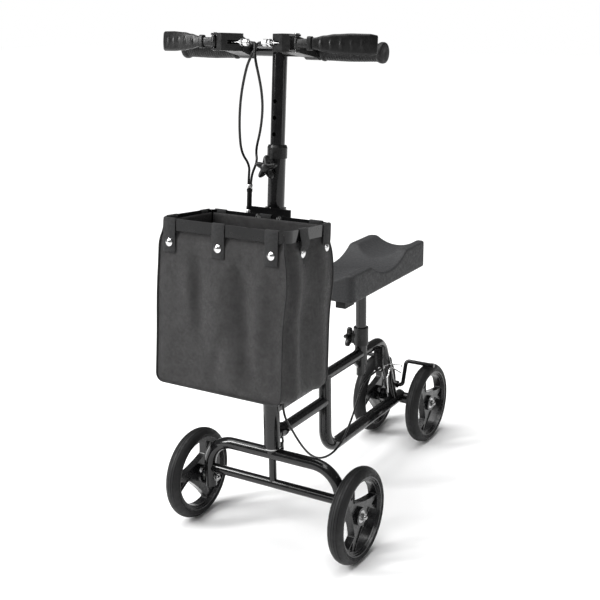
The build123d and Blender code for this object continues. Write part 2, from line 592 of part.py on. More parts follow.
def rear_brake():
    """A bent bar over both rear tyres, and the two brackets welded to the upper tube's tail."""
    pivot_y, pivot_z = BRAKE_PIVOT
    bar_y, bar_z = REAR_Y - 14, 2 * WHEEL_R + 7
    half = [(98, bar_y, bar_z), (22, bar_y, bar_z), (22, pivot_y, pivot_z)]
    other = [(-x, y, z) for x, y, z in reversed(half)]
    save(bent(half + other, 9, BRAKE_BAR_R), "brake_bar")

    bush = rod((-9, pivot_y, pivot_z), (9, pivot_y, pivot_z), 9)
    bush += box((-4, 4), (pivot_y - 26, pivot_y - 4), (pivot_z - 6, pivot_z + 6))
    bush -= rod((-9, pivot_y, pivot_z), (9, pivot_y, pivot_z), BRAKE_BAR_R + RUNNING)
    bush -= rod(UPPER_CORNERS[1], UPPER_CORNERS[2], MAIN_TUBE_R)

    x, y, z = CABLE_STOP
    plate = box((3, x + 7), (y + 2, y + 5), (z - 7, UPPER_TUBE_Z))
    plate -= rod((0, SEAT_Y, UPPER_TUBE_Z), (0, REAR_Y, UPPER_TUBE_Z), MAIN_TUBE_R)
    plate -= rod((x, y, z), (x, y + 20, z), 3)
    save(group(bush, plate), "brake_brackets")

    barrel = rod((x, y, z), (x, y + 22, z), 3)
    for start, length, radius in ((0, 1.8, 4.5), (5.2, 3, 6), (13, 5, 5.5)):
        barrel += rod((x, y + start, z), (x, y + start + length, z), radius)
    save(barrel, "rear_cable_adjuster")


# ---- knee pad and its post ------------------------------------------------------------
def seat():
    """The post, the plate welded on it, the board and its two front feet, and the foam pad."""
    low, high = PAD_Z
    board_z = (low - BOARD_T, low)
    plate_z = (board_z[0] - 5, board_z[0])
    post = pipe((0, SEAT_Y, SEAT_POST_FOOT), (0, SEAT_Y, plate_z[0]), SEAT_POST_R, SEAT_POST_R - 2)
    save(post, "seat_post")
    save(box((-28, 28), (SEAT_Y - 75, SEAT_Y + 75), plate_z), "pad_bracket")
    board = box((-40, 40), (PAD_Y[0] + 30, PAD_Y[1] - 30), board_z)
    for x in ((-52, -28), (28, 52)):
        board += box(x, (PAD_Y[0] + 10, PAD_Y[0] + 50), (low - 16, low))
    save(board, "pad_board")

    middle = sum(PAD_Y) / 2 - 8
    pad = box((-PAD_W / 2, PAD_W / 2), PAD_Y, PAD_Z)
    pad = fillet(pad.edges().filter_by(Axis.Z), PAD_CORNER_R)
    pad = fillet(pad.edges().group_by(Axis.Z)[-1], 5)
    radius, axis_z = PAD_CHANNEL[0], high - PAD_CHANNEL[1] + PAD_CHANNEL[0]
    pad -= rod((0, PAD_Y[0] - 9, axis_z), (0, PAD_Y[1] + 9, axis_z), radius)
    radius, axis_z = PAD_SCALLOP[0], high - PAD_SCALLOP[1] + PAD_SCALLOP[0]
    pad -= rod((-PAD_W, middle, axis_z), (PAD_W, middle, axis_z), radius)
    save(pad, "knee_pad")

    knob = Pos(-20.5, SEAT_Y, SEAT_KNOB_Z) * Rot(0, 0, -90) * star_knob(0, (0, 0), 6, 3)
    save(knob, "seat_knob")


# ---- brake cables ---------------------------------------------------------------------
def ahead(x, y, z):
    """A point given from the front axle's line rather than from the middle."""
    return (x, FRONT_Y + y, z)


def up_column(x, y, w):
    """A point of the column's frame, in the scooter's."""
    lean = radians(COLUMN_LEAN)
    return (x, FRONT_Y + y * cos(lean) + w * sin(lean), FOLD_Z - y * sin(lean) + w * cos(lean))


def splitter():
    """The sleeve beside the column where both lever cables end and the rear cable starts."""
    x, y = SPLITTER
    sleeve = rod((x, y, SPLITTER_W[0]), (x, y, SPLITTER_W[1]), 5)
    for end in SPLITTER_W:
        sleeve += rod((x, y, end - 5), (x, y, end + 5), 5.8)
    save(on_column(sleeve), "cable_splitter")


def lever_cables():
    """From each adjuster, crossing in front of the stem, down to the splitter's top."""
    x, y = SPLITTER
    top, inner, half = SPLITTER_W[1] + 5, 13.8, CABLE_R + 0.2
    left = [
        up_column(inner, ADJUSTER_Y, LEVER_W), up_column(6, ADJUSTER_Y, LEVER_W),
        up_column(-1, -80.5, LEVER_W - 6), ahead(-9, -21, 998), ahead(-18, -24, 980),
        ahead(-28, -21, 956), ahead(-38, -17, 928), ahead(-47, -12, 893), ahead(-54, -5, 850), ahead(-56, 2, 810), up_column(x - 2, y + 1, top + 42),
        up_column(x - half, y, top + 18), up_column(x - half, y, top),
    ]
    right = [
        up_column(-inner, ADJUSTER_Y, LEVER_W), up_column(-6, ADJUSTER_Y, LEVER_W),
        up_column(1, -89.5, LEVER_W - 5), ahead(6, -36, 1000), ahead(10, -38, 982),
        ahead(12.5, -33, 958), ahead(13, -26, 930),
        ahead(9, -18, 896), ahead(-2, -11, 856), ahead(-18, -5, 818), up_column(x + 16, y + 1, top + 50),
        up_column(x + half, y, top + 22), up_column(x + half, y, top),
    ]
    save(cable(left, CABLE_R, "brake_cable_left"), "brake_cable_left")
    save(cable(right, CABLE_R, "brake_cable_right"), "brake_cable_right")


def rear_cable():
    """From the splitter behind the column to its left, then under the frame to the cable stop."""
    x, y = SPLITTER
    upper = [
        up_column(x, y, SPLITTER_W[0] - 5), up_column(x, y, 320), up_column(-47, -6, 288),
        up_column(-36, 12, 254), up_column(-16, 27, 222), up_column(8, 29, 190), up_column(24, 18, 156),
        up_column(28, 5, 120), up_column(27.5, 0, 82), up_column(27, 0, 45), ahead(27, 1, 352),
        ahead(27, 2, 322.3),
    ]
    lower = [
        ahead(27, 2, 322), ahead(26.5, 3, 298), ahead(24, 12, 274), ahead(21.5, 28, 252),
        ahead(20, 49, 225), ahead(20, 66, 201), ahead(20, 86, 176), ahead(20, 107, 153),
        ahead(20, 132, 132), ahead(20, 162, 116),
        ahead(20, 195, 107.5), ahead(20, 228, 107), ahead(20, 258, 116), ahead(20, 280, 131),
        ahead(20, 301, 150), ahead(20, 321, 172), ahead(20, 338, 195), ahead(20, 354, 214),
        ahead(20, 376, 227), ahead(20, 404, 232.5), (CABLE_STOP[0], CABLE_STOP[1] - 0.3, CABLE_STOP[2]),
    ]
    save(cable(upper, CABLE_R, "rear_cable_upper"), "rear_cable_upper")
    save(cable(lower, CABLE_R, "rear_cable_lower"), "rear_cable_lower")


def rear_brake_wires():
    """The bare wire behind the cable stop, and the return spring."""
    y, z = CABLE_STOP[1] + 22.3, CABLE_STOP[2]
    wire = [
        (20, y, z), (20, y + 30, z - 4), (21, y + 62, z - 16), (15, REAR_Y - 26, 198),
        (13, REAR_Y - 20, 190),
    ]
    save(cable(wire, 1.3, "brake_wire"), "brake_wire")
    spring = [
        ahead(14, 508, 150), ahead(15, 500, 190), ahead(15, 516, 214), ahead(15, 548, 196),
        ahead(14, 578, 178),
    ]
    save(bent(spring, [10, 6, 10], 1.6), "brake_spring")


wheels()
fork()
fold_hinge()
frame()
steering_lock()
column()
basket()
handlebar()
brakes()
rear_brake()
seat()
splitter()
lever_cables()
rear_cable()
rear_brake_wires()
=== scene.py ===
import json
from math import atan2, cos, exp, pi, radians, sin, sqrt

import bpy
from mathutils import Matrix, Vector, noise


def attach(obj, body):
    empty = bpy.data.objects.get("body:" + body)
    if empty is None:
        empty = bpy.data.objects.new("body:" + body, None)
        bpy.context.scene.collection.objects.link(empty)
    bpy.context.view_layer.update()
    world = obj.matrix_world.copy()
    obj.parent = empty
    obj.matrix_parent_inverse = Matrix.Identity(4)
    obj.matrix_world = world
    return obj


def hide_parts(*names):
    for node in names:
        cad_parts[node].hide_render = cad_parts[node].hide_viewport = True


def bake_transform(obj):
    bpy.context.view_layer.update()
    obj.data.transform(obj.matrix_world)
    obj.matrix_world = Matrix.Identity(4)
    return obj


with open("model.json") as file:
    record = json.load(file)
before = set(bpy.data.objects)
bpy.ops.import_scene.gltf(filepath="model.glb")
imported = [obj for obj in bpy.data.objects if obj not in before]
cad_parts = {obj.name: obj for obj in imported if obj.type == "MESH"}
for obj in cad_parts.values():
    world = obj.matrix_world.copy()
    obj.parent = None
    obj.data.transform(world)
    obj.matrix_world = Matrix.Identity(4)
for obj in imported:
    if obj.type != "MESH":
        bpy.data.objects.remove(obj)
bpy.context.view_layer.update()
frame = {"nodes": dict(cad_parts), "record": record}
NODES = frame["nodes"]

# Metres. +Z is up, -Y is the way it rolls, +X is the rider's left.
FRONT_Y = -0.2645
FOLD_Z = 0.345
LEAN = atan2(61.0, 654.5)
# The column's frame: X across, Y to the rear, Z up the leaning column from its fold hinge.
COLUMN = Matrix.Translation((0, FRONT_Y, FOLD_Z)) @ Matrix.Rotation(-LEAN, 4, "X")
BAR_W = 0.657
LEVER_W = 0.6685


def on_column(points):
    """Points given in the column's frame, in the scooter's."""
    return [COLUMN @ Vector(point) for point in points]


def smoothstep(low, high, value):
    """Eases from 0 at the low value to 1 at the high one."""
    t = min(1.0, max(0.0, (value - low) / (high - low)))
    return t * t * (3 - 2 * t)


# ---- materials ------------------------------------------------------------------------
class Shader:
    """A Principled material whose colour, roughness and bump come from procedural noise."""

    def __init__(self, name, rough, metallic=0.0, specular=0.5, coat=0.0, coat_rough=0.08, sheen=0.0):
        self.material = bpy.data.materials.new(name)
        self.material.use_nodes = True
        self.nodes = self.material.node_tree.nodes
        self.links = self.material.node_tree.links
        self.shader = self.nodes["Principled BSDF"]
        self.shader.inputs["Metallic"].default_value = metallic
        self.shader.inputs["Specular IOR Level"].default_value = specular
        self.shader.inputs["Coat Weight"].default_value = coat
        self.shader.inputs["Coat Roughness"].default_value = coat_rough
        self.shader.inputs["Sheen Weight"].default_value = sheen
        self.shader.inputs["Sheen Roughness"].default_value = 0.45
        self.shader.inputs["Roughness"].default_value = rough
        self.place = self.nodes.new("ShaderNodeTexCoord").outputs["Object"]
        self.height = None

    def add(self, kind, **values):
        node = self.nodes.new(kind)
        for name, value in values.items():
            setattr(node, name, value)
        return node

    def noise(self, scale, detail=4.0, stretch=(1, 1, 1)):
        """A noise pattern, about one blotch to every 1/scale metres."""
        mapping = self.add("ShaderNodeMapping")
        mapping.inputs["Scale"].default_value = [scale * s for s in stretch]
        self.links.new(self.place, mapping.inputs["Vector"])
        node = self.add("ShaderNodeTexNoise")
        node.inputs["Scale"].default_value = 1.0
        node.inputs["Detail"].default_value = detail
        self.links.new(mapping.outputs["Vector"], node.inputs["Vector"])
        return node.outputs["Fac"]

    def cells(self, scale):
        """A pattern of small rounded cells."""
        node = self.add("ShaderNodeTexVoronoi", feature="F1")
        node.inputs["Scale"].default_value = scale
        self.links.new(self.place, node.inputs["Vector"])
        return node.outputs["Distance"]

    def ramp(self, value, low, high, first, last):
        node = self.add("ShaderNodeMapRange", clamp=True)
        for name, number in (("From Min", low), ("From Max", high), ("To Min", first), ("To Max", last)):
            node.inputs[name].default_value = number
        self.links.new(value, node.inputs["Value"])
        return node.outputs["Result"]

    def colour(self, value, dark, light, low=0.35, high=0.65):
        node = self.add("ShaderNodeValToRGB")
        node.color_ramp.elements[0].position = low
        node.color_ramp.elements[1].position = high
        node.color_ramp.elements[0].color = (*dark, 1)
        node.color_ramp.elements[1].color = (*light, 1)
        self.links.new(value, node.inputs["Fac"])
        self.links.new(node.outputs["Color"], self.shader.inputs["Base Color"])
        return self

    def roughness(self, value, low, high):
        self.links.new(self.ramp(value, 0.35, 0.65, low, high), self.shader.inputs["Roughness"])
        return self

    def bump(self, value, strength, distance):
        """Adds one layer of relief; distance is its height in metres."""
        node = self.add("ShaderNodeBump")
        node.inputs["Strength"].default_value = strength
        node.inputs["Distance"].default_value = distance
        self.links.new(value, node.inputs["Height"])
        if self.height is not None:
            self.links.new(self.height, node.inputs["Normal"])
        self.height = node.outputs["Normal"]
        self.links.new(self.height, self.shader.inputs["Normal"])
        return self

    def weave(self, along, across):
        """Threads over and under each other, counted along the surface's own UV in metres."""
        split = self.add("ShaderNodeSeparateXYZ")
        self.links.new(self.nodes.new("ShaderNodeUVMap").outputs["UV"], split.inputs["Vector"])
        waves = []
        for output, count in ((split.outputs["X"], along), (split.outputs["Y"], across)):
            turns = self.math("MULTIPLY", output, 2 * pi * count)
            waves.append(self.math("SINE", turns))
        return self.math("MULTIPLY", waves[0], waves[1])

    def math(self, operation, first, second=0.0):
        node = self.add("ShaderNodeMath", operation=operation)
        for socket, value in zip(node.inputs, (first, second)):
            if isinstance(value, (int, float)):
                socket.default_value = value
            else:
                self.links.new(value, socket)
        return node.outputs["Value"]


def gloss_paint():
    s = Shader("gloss_black_paint", 0.26, specular=0.14, coat=0.6, coat_rough=0.05)
    s.colour(s.noise(9), (0.003, 0.003, 0.0033), (0.006, 0.006, 0.0064))
    return s.roughness(s.noise(60), 0.16, 0.3).bump(s.noise(900, 2), 0.05, 0.0002).material


def moulded_black(name, tone, rough, grain, relief):
    """Black plastic or rubber: grain is how many marks go to a metre, relief their height."""
    s = Shader(name, rough, specular=0.3)
    s.colour(s.noise(40), [tone * 0.75] * 3, [tone * 1.25] * 3)
    s.roughness(s.noise(120), rough - 0.07, rough + 0.08)
    return s.bump(s.noise(grain, 3), 0.35, relief).material


def rim_plastic():
    s = Shader("rim_gloss_black", 0.28, specular=0.35, coat=0.2, coat_rough=0.14)
    s.colour(s.noise(25), (0.005, 0.005, 0.0054), (0.011, 0.011, 0.0118))
    return s.roughness(s.noise(70), 0.2, 0.36).bump(s.noise(1500, 2), 0.1, 0.0002).material


def tyre_rubber():
    s = Shader("tyre_rubber", 0.6, specular=0.3)
    s.colour(s.noise(18, 6), (0.0055, 0.0055, 0.0058), (0.011, 0.011, 0.0115))
    s.roughness(s.noise(90), 0.46, 0.66)
    return s.bump(s.noise(1800, 3), 0.5, 0.0003).material


def bright_metal(name, tone, rough, brushed=(1, 1, 1)):
    """Bare or plated metal; a small brushed value draws its marks out along that axis."""
    s = Shader(name, rough, metallic=1.0)
    s.colour(s.noise(150, 3, brushed), [tone * 0.85] * 3, [tone] * 3)
    return s.roughness(s.noise(300, 4, brushed), rough * 0.7, rough * 1.5).bump(
        s.noise(900, 2, brushed), 0.08, 0.0002).material


def bag_cloth(name, dark, light, threads=900, relief=0.0004):
    """Coated woven polyester: fine threads, a slight mottle and soft creases."""
    s = Shader(name, 0.62, specular=0.3, sheen=0.08)
    s.colour(s.noise(60, 8), dark, light, 0.3, 0.7)
    s.roughness(s.noise(200), 0.5, 0.7)
    s.bump(s.noise(28, 3), 0.25, 0.003)
    return s.bump(s.weave(threads, threads), 0.5, relief).material


def webbing():
    s = Shader("webbing", 0.75, specular=0.25, sheen=0.08)
    s.colour(s.noise(240, 6), (0.011, 0.011, 0.0114), (0.023, 0.023, 0.0238), 0.3, 0.7)
    return s.bump(s.weave(550, 420), 0.7, 0.0005).material


def pad_skin():
    """Moulded foam skin with a fine leather-like grain."""
    s = Shader("pad_skin", 0.62, specular=0.3)
    s.colour(s.noise(420, 6), (0.02, 0.0203, 0.0212), (0.042, 0.0425, 0.0442), 0.3, 0.7)
    s.roughness(s.noise(150), 0.52, 0.72)
    s.bump(s.cells(700), 0.5, 0.0005)
    return s.bump(s.noise(1500, 2), 0.3, 0.0002).material


PAINT = gloss_paint()
RIM = rim_plastic()
TYRE = tyre_rubber()
CHROME = bright_metal("bright_chrome", tone=0.82, rough=0.13)
NUT = bright_metal("zinc_nut", tone=0.42, rough=0.24)
STEEL = bright_metal("plain_steel", tone=0.5, rough=0.3, brushed=(1, 1, 0.05))
WIRE = bright_metal("bright_wire", tone=0.75, rough=0.2)
SILVER = bright_metal("adjuster_silver", tone=0.7, rough=0.28)
GREY = moulded_black("brake_grey", tone=0.010, rough=0.36, grain=1400, relief=0.0003)
ROOT = bright_metal("lever_root", tone=0.045, rough=0.36)
LEVER = moulded_black("lever_black", tone=0.0065, rough=0.34, grain=1200, relief=0.0002)
RUBBER = moulded_black("grip_rubber", tone=0.006, rough=0.5, grain=1500, relief=0.0004)
KNOB = moulded_black("knob_plastic", tone=0.009, rough=0.3, grain=1300, relief=0.0002)
BOARD = moulded_black("board_black", tone=0.006, rough=0.55, grain=700, relief=0.0004)
CABLE = moulded_black("cable_black", tone=0.005, rough=0.3, grain=800, relief=0.0001)
CLOTH = bag_cloth("bag_cloth", (0.015, 0.0144, 0.0146), (0.027, 0.0259, 0.0263))
PIPING = bag_cloth("bag_piping", (0.008, 0.008, 0.0083), (0.015, 0.015, 0.0155), 1200, 0.0003)
WEB = webbing()
PAD = pad_skin()

FINISHES = {
    "black_paint": PAINT, "rim_black": RIM, "tyre_rubber": TYRE, "bright_nut": NUT, "plain_steel": STEEL,
    "brake_grey": GREY, "adjuster_silver": SILVER, "lever_black": LEVER, "grip_rubber": RUBBER,
    "knob_plastic": KNOB, "bag_fabric": CLOTH, "pad_skin": PAD, "board_black": BOARD, "cable_black": CABLE,
    "bright_wire": WIRE,
}


def paint(obj, material):
    if obj.material_slots:
        for place in obj.material_slots:
            place.material = material
    else:
        obj.data.materials.append(material)


# ---- building pieces ------------------------------------------------------------------
def piece(name, points, faces, material, body, uvs=None, smooth=True):
    """A mesh piece that rides on a body, where one is given.

    uvs is a function of the face and the vertex that gives (u, v) in metres.
    """
    mesh = bpy.data.meshes.new(name)
    mesh.from_pydata([tuple(point) for point in points], [], faces)
    mesh.update()
    if uvs:
        layer = mesh.uv_layers.new(name="UVMap")
        for face in mesh.polygons:
            for loop in face.loop_indices:
                layer.data[loop].uv = uvs(face.index, mesh.loops[loop].vertex_index)
    obj = bpy.data.objects.new(name, mesh)
    bpy.context.scene.collection.objects.link(obj)
    mesh.materials.append(material)
    for face in mesh.polygons:
        face.use_smooth = smooth
    if body:
        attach(obj, body)
    return obj


def grid_faces(rows, columns, closed=False):
    """Four-sided faces between rows of points; closed joins each row's end to its start."""
    faces = []
    for row in range(rows - 1):
        for column in range(columns if closed else columns - 1):
            after = (column + 1) % columns
            faces.append((row * columns + column, row * columns + after,
                          (row + 1) * columns + after, (row + 1) * columns + column))
    return faces


def end_faces(around, total):
    """The two flat ends of a skin whose points come in rings."""
    return [tuple(reversed(range(around))), tuple(range(total - around, total))]


def spline_points(route, count):
    """Even points on the smooth curve that a route's control points pull."""
    curve = bpy.data.curves.new("route", "CURVE")
    curve.dimensions = "3D"
    spline = curve.splines.new("NURBS")
    spline.points.add(len(route) - 1)
    for place, point in zip(spline.points, route):
        place.co = (*point, 1)
    spline.order_u = 3
    spline.use_endpoint_u = True
    spline.resolution_u = 16
    carrier = bpy.data.objects.new("route", curve)
    bpy.context.scene.collection.objects.link(carrier)
    line = bpy.data.meshes.new_from_object(carrier.evaluated_get(bpy.context.evaluated_depsgraph_get()))
    points = [vertex.co.copy() for vertex in line.vertices]
    bpy.data.objects.remove(carrier)
    bpy.data.meshes.remove(line)
    return resample(points, count)


def resample(points, count):
    """Evenly spaced points on a run of straight lines."""
    lengths = [0.0]
    for before, after in zip(points, points[1:]):
        lengths.append(lengths[-1] + (after - before).length)
    even, at = [], 0
    for step in range(count):
        target = lengths[-1] * step / (count - 1)
        while at < len(points) - 2 and lengths[at + 1] < target:
            at += 1
        span = lengths[at + 1] - lengths[at] or 1.0
        even.append(points[at].lerp(points[at + 1], (target - lengths[at]) / span))
    return even


def tube(name, points, radius, material, body, sides=12, radii=None):
    """A round tube along points, with flat ends and a frame that doesn't twist."""
    rings, side = [], None
    for index, point in enumerate(points):
        run = points[min(index + 1, len(points) - 1)] - points[max(index - 1, 0)]
        run.normalize()
        if side is None:
            side = run.orthogonal()
        side = (side - run * side.dot(run)).normalized()
        other = run.cross(side)
        size = radii[index] if radii else radius
        for step in range(sides):
            angle = 2 * pi * step / sides
            rings.append(point + (side * cos(angle) + other * sin(angle)) * size)
    faces = grid_faces(len(points), sides, closed=True) + end_faces(sides, len(rings))
    return piece(name, rings, faces, material, body)


def turned(name, profile, place, material, body, sides=48):
    """A (distance, radius) profile turned about the place's own X axis."""
    rings = []
    for along, radius in profile:
        for step in range(sides):
            angle = 2 * pi * step / sides
            rings.append(place @ Vector((along, radius * cos(angle), radius * sin(angle))))
    faces = grid_faces(len(profile), sides, closed=True)
    return piece(name, rings, faces, material, body)


# ---- the CAD pieces that show ---------------------------------------------------------
def finish_cad_nodes():
    """Every CAD node wears its slot's material; those that a piece replaces are hidden later."""
    for row in frame["record"]["subparts"]:
        node = NODES[row["node"]]
        paint(node, FINISHES[row["material_slot"]])


# ---- basket bag -----------------------------------------------------------------------
# In the column's frame. The rail is the flat metal frame that the bag hangs from by its tabs.
BAG_TOP, BAG_FOOT, BAG_CORNER = 0.339, 0.027, 0.016
BAG_STIFF = BAG_TOP - 0.03      # above this the hem holds the cloth flatter
CLOTH_T = 0.0013
STRIP_WIDTH, STRIP_LONG = 0.160, 0.89
PIPING_R = 0.0017
RAIL_TOP = 0.345
RAIL_HALF, RAIL_FRONT, RAIL_BACK = 0.140, -0.188, -0.020
TAB_WIDTH, TAB_T = 0.028, 0.0014
STUD_W = 0.300


def bump_at(value, centre, width):
    """A smooth bump, 1 at its centre."""
    return exp(-((value - centre) / width) ** 2)


def bag_share(w):
    """0 at the bag's top and 1 at its foot; w is the height along the column."""
    return (BAG_TOP - w) / (BAG_TOP - BAG_FOOT)


def bag_half(w, side):
    """How far out a side seam is; the left one, towards +X, is pulled out below its press stud."""
    t = bag_share(w)
    pull = 0.0065 * bump_at(w, 0.245, 0.05) if side > 0 else 0.002 * bump_at(w, 0.2, 0.06)
    return 0.1325 + 0.0055 * smoothstep(0.03, 0.16, t) + 0.004 * t + pull


def bag_front(w):
    """The front panel's Y before its folds; it leans out a little towards the foot."""
    t = bag_share(w)
    return -(0.1805 + 0.0055 * smoothstep(0.03, 0.12, t) + 0.003 * t)


def bag_back(w):
    """The back panel's Y before its folds."""
    return -(0.0275 - 0.005 * smoothstep(0.03, 0.2, bag_share(w)))


def edge_window(distance, reach=0.018):
    """Lets folds die away within this reach of a seam."""
    return smoothstep(0.0, reach, distance)


def front_folds(x, w):
    """How far the front panel stands forward: soft folds that start at the tabs and fade downwards."""
    lean = 0.3 - w
    fold = 0.0072 * bump_at(x, -0.010 + 0.10 * lean, 0.032) * smoothstep(0.02, 0.12, w)
    fold -= 0.0066 * bump_at(x, 0.040 + 0.13 * lean, 0.016) * smoothstep(0.03, 0.1, w)
    fold += 0.0052 * bump_at(x, 0.094 - 0.05 * lean, 0.021) * smoothstep(0.06, 0.16, w)
    fold -= 0.0054 * bump_at(x, -0.052 + 0.06 * lean, 0.015) * smoothstep(0.08, 0.2, w)
    fold += 0.0046 * bump_at(x, -0.078 + 0.16 * lean, 0.017) * smoothstep(0.1, 0.24, w)
    fold -= 0.0035 * bump_at(x, 0.008 - 0.25 * (0.12 - w), 0.014) * bump_at(w, 0.09, 0.05)
    fold += 0.0045 * bump_at(x, 0.045 - 0.2 * (0.12 - w), 0.026) * bump_at(w, 0.075, 0.045)
    ripple = noise.noise(Vector((x * 14, w * 9, 1.7))) * 0.003
    return 1.3 * (fold + ripple) * (1 - 0.8 * smoothstep(0.235, 0.29, w))


def side_folds(y, w, side):
    """How far a side panel stands out: it tucks in behind the front seam and rounds out behind that."""
    if side > 0:
        fold = -0.0085 * bump_at(y, -0.158 + 0.05 * (0.3 - w), 0.020)
        fold += 0.0040 * bump_at(y, -0.105 - 0.06 * (0.3 - w), 0.024) * smoothstep(0.03, 0.12, w)
        fold -= 0.0035 * bump_at(y, -0.060 + 0.05 * (0.3 - w), 0.020)
    else:
        fold = 0.0065 * bump_at(y, -0.13, 0.05) - 0.003 * bump_at(y, -0.06, 0.02)
    return fold + noise.noise(Vector((y * 16, w * 9, 4.1 * side))) * 0.0028


def bag_rows():
    """(height, share of the corner turned) from the bag's top to its bottom edge."""
    straight, turns = 64, 8
    rows = [(BAG_TOP + (BAG_FOOT + BAG_CORNER - BAG_TOP) * i / straight, 0.0) for i in range(straight)]
    for i in range(turns + 1):
        angle = pi / 2 * i / turns
        rows.append((BAG_FOOT + BAG_CORNER * (1 - sin(angle)), 1 - cos(angle)))
    return rows


def bag_panel(depth, folds, columns):
    """The front or back panel's points, row by row."""
    points = []
    for w, turned_in in bag_rows():
        left, right = -bag_half(w, -1), bag_half(w, 1)
        left, right = left + BAG_CORNER * turned_in, right - BAG_CORNER * turned_in
        for column in range(columns + 1):
            x = left + (right - left) * column / columns
            room = min(x - left, right - x, (w - BAG_FOOT) * 1.4)
            top_free = 1.0 if w < BAG_STIFF else 0.45
            points.append(Vector((x, depth(w) - folds(x, w) * edge_window(room) * top_free, w)))
    return points


def bag_border(rows, wide):
    """A panel's outer points in order: down its left edge, along its foot and up its right edge."""
    border = [row * wide for row in range(rows)]
    border += [(rows - 1) * wide + column for column in range(1, wide - 1)]
    border += [row * wide + wide - 1 for row in range(rows - 1, -1, -1)]
    return border


def strip_bulge(place, share, out):
    """How far the side strip stands out at a place that is this share of the way to the back panel."""
    away = edge_window(min(share, 1 - share) * STRIP_WIDTH)
    if abs(out.x) > 0.5:
        side = 1 if place.x > 0 else -1
        return away * side_folds(place.y, place.z, side) * (1.0 if place.z < BAG_STIFF else 0.5)
    return away * (0.002 + 0.002 * noise.noise(place * 20))


def bag_strip(points, border, offset, steps):
    """Adds the side strip's points. Returns its faces, and each of its points' places on the cloth."""
    arc, lines, places = 0.0, [], {}
    for number, start in enumerate(border):
        low, high = points[start], points[start + offset]
        if number:
            arc += (low - points[border[number - 1]]).length
        after = points[border[min(number + 1, len(border) - 1)]]
        before = points[border[max(number - 1, 0)]]
        run = after - before
        out = Vector((run.z, 0, -run.x)).normalized() * -1
        line = [start]
        for step in range(1, steps):
            place = low.lerp(high, step / steps)
            places[len(points)] = (place.y, arc)
            line.append(len(points))
            points.append(place + out * strip_bulge(place, step / steps, out))
        line.append(start + offset)
        places[start], places[start + offset] = (low.y, arc), (high.y, arc)
        lines.append(line)
    faces = []
    for line, after in zip(lines, lines[1:]):
        for step in range(steps):
            faces.append((line[step], line[step + 1], after[step + 1], after[step]))
    return faces, places


def bag_shell():
    """Front and back panels and one long side strip, sewn at the piped seams."""
    columns, steps, rows = 72, 40, len(bag_rows())
    front = bag_panel(bag_front, front_folds, columns)
    back = bag_panel(bag_back, lambda x, w: 0.7 * front_folds(-x, w) - 0.004, columns)
    points = front + back
    offset, wide = len(front), columns + 1
    faces = [tuple(reversed(face)) for face in grid_faces(rows, wide)]
    faces += [tuple(vertex + offset for vertex in face) for face in grid_faces(rows, wide)]
    panel_faces = len(faces)
    border = bag_border(rows, wide)
    strip, places = bag_strip(points, border, offset, steps)

    def uvs(face, vertex):
        return (points[vertex].x, points[vertex].z) if face < panel_faces else places[vertex]

    bag = piece("bag_shell", on_column(points), faces + strip, CLOTH, None, uvs)
    thick = bag.modifiers.new("cloth", "SOLIDIFY")
    thick.thickness, thick.offset = CLOTH_T, -1
    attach(bag, "column")
    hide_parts("basket_bag")
    bag_trim(front, back, border, wide)


def bag_trim(front, back, border, wide):
    """Piping along both seams, and the turned hem round the top."""
    pieces = []
    for name, panel, out in (("front", front, -1), ("back", back, 1)):
        seam = [panel[place] + Vector((0, out * 0.0008, 0)) for place in border]
        pieces.append(tube(f"bag_piping_{name}", resample(on_column(seam), 300), PIPING_R, PIPING,
                           "column", sides=8))
    top = front[:wide] + list(reversed(back[:wide]))
    points, across = [], len(top)
    middle_y = (RAIL_FRONT + RAIL_BACK) / 2
    for drop, swell in ((0.0, 0.0), (0.0006, 0.0012), (0.013, 0.0012), (0.0136, 0.0002)):
        for place in top:
            out = Vector((place.x, (place.y - middle_y) * 1.6, 0)).normalized()
            points.append(place + out * swell - Vector((0, 0, drop - 0.0008)))
    hem = piece("bag_hem", on_column(points), grid_faces(4, across, closed=True), PIPING, "column",
                lambda face, vertex: (vertex % across * 0.004, vertex // across * 0.006))
    pieces.append(hem)
    return pieces


def ribbon(name, line, across, width, thick, material, body):
    """A flat strap along a line, as wide as given along the across direction."""
    half, edge = width / 2, thick / 2
    outline = [(half, -edge * 0.5), (half, edge * 0.5), (half - 0.0007, edge), (-half + 0.0007, edge),
               (-half, edge * 0.5), (-half, -edge * 0.5), (-half + 0.0007, -edge), (half - 0.0007, -edge)]
    points, along, length = [], [], 0.0
    for index, place in enumerate(line):
        run = (line[min(index + 1, len(line) - 1)] - line[max(index - 1, 0)]).normalized()
        if index:
            length += (place - line[index - 1]).length
        normal = across.cross(run).normalized()
        for sideways, out in outline:
            points.append(place + across * sideways + normal * out)
            along.append((sideways, length))
    sides = len(outline)
    faces = grid_faces(len(line), sides, closed=True) + end_faces(sides, len(points))
    return piece(name, points, faces, material, body, lambda face, vertex: along[vertex])


def stud(name, place, out):
    """A domed press stud with a rolled rim, facing out."""
    axis = out.normalized()
    side = axis.orthogonal().normalized()
    spot = Matrix((axis, side, axis.cross(side))).transposed().to_4x4()
    profile = [(-0.0012, 0.0), (-0.0012, 0.0074), (0.0002, 0.0078), (0.0008, 0.0074), (0.0008, 0.0066),
               (0.0016, 0.0060), (0.0025, 0.0043), (0.0030, 0.0022), (0.0031, 0.0)]
    return turned(name, profile, Matrix.Translation(place) @ spot, CHROME, "column", 32)


